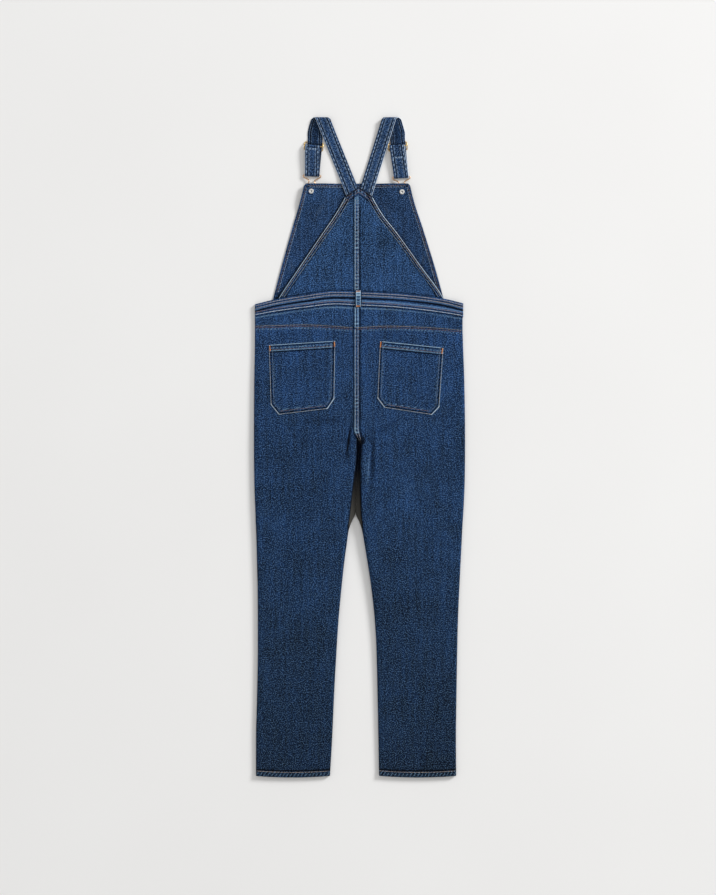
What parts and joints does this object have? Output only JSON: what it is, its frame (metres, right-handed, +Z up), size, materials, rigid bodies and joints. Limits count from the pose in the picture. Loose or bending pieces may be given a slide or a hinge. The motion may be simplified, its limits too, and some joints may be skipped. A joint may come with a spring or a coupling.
{
  "type": "denim dungarees, laid flat with the back uppermost",
  "caption": "Indigo denim dungarees laid flat, back uppermost, with a pointed back bib, patch pockets and straps fastened to the front bib by sliders, wire hooks and buttons.",
  "frame": {"origin": "under the middle of the garment, on the surface that it lies on", "axes": "+X across the garment to the right as seen from above, +Y up the garment from the hems to the straps, +Z up"},
  "size_m": [0.464, 1.4509, 0.019],
  "materials": {
    "denim": "indigo twill, faded at its seams",
    "denim_inside": "twill seen from its inside",
    "brass": "polished wire",
    "rose_gold": "polished wire and caps",
    "silver": "bright nail head"
  },
  "bodies": {
    "root": {"back_leg_left": "denim", "back_leg_right": "denim", "front_leg_left": "denim", "front_leg_right": "denim", "back_yoke_left": "denim", "back_yoke_right": "denim", "back_waistband": "denim", "front_waistband": "denim", "back_bib_left": "denim", "back_bib_right": "denim", "front_bib": "denim_inside", "strap_left": "denim", "strap_right": "denim", "slider_left": "brass", "slider_right": "brass", "hook_left": "rose_gold", "hook_right": "rose_gold", "button_left": "rose_gold", "button_right": "rose_gold", "tack_left": "silver", "tack_right": "silver", "back_pocket_left": "denim", "back_pocket_right": "denim", "belt_loop": "denim"}
  },
  "joints": []
}
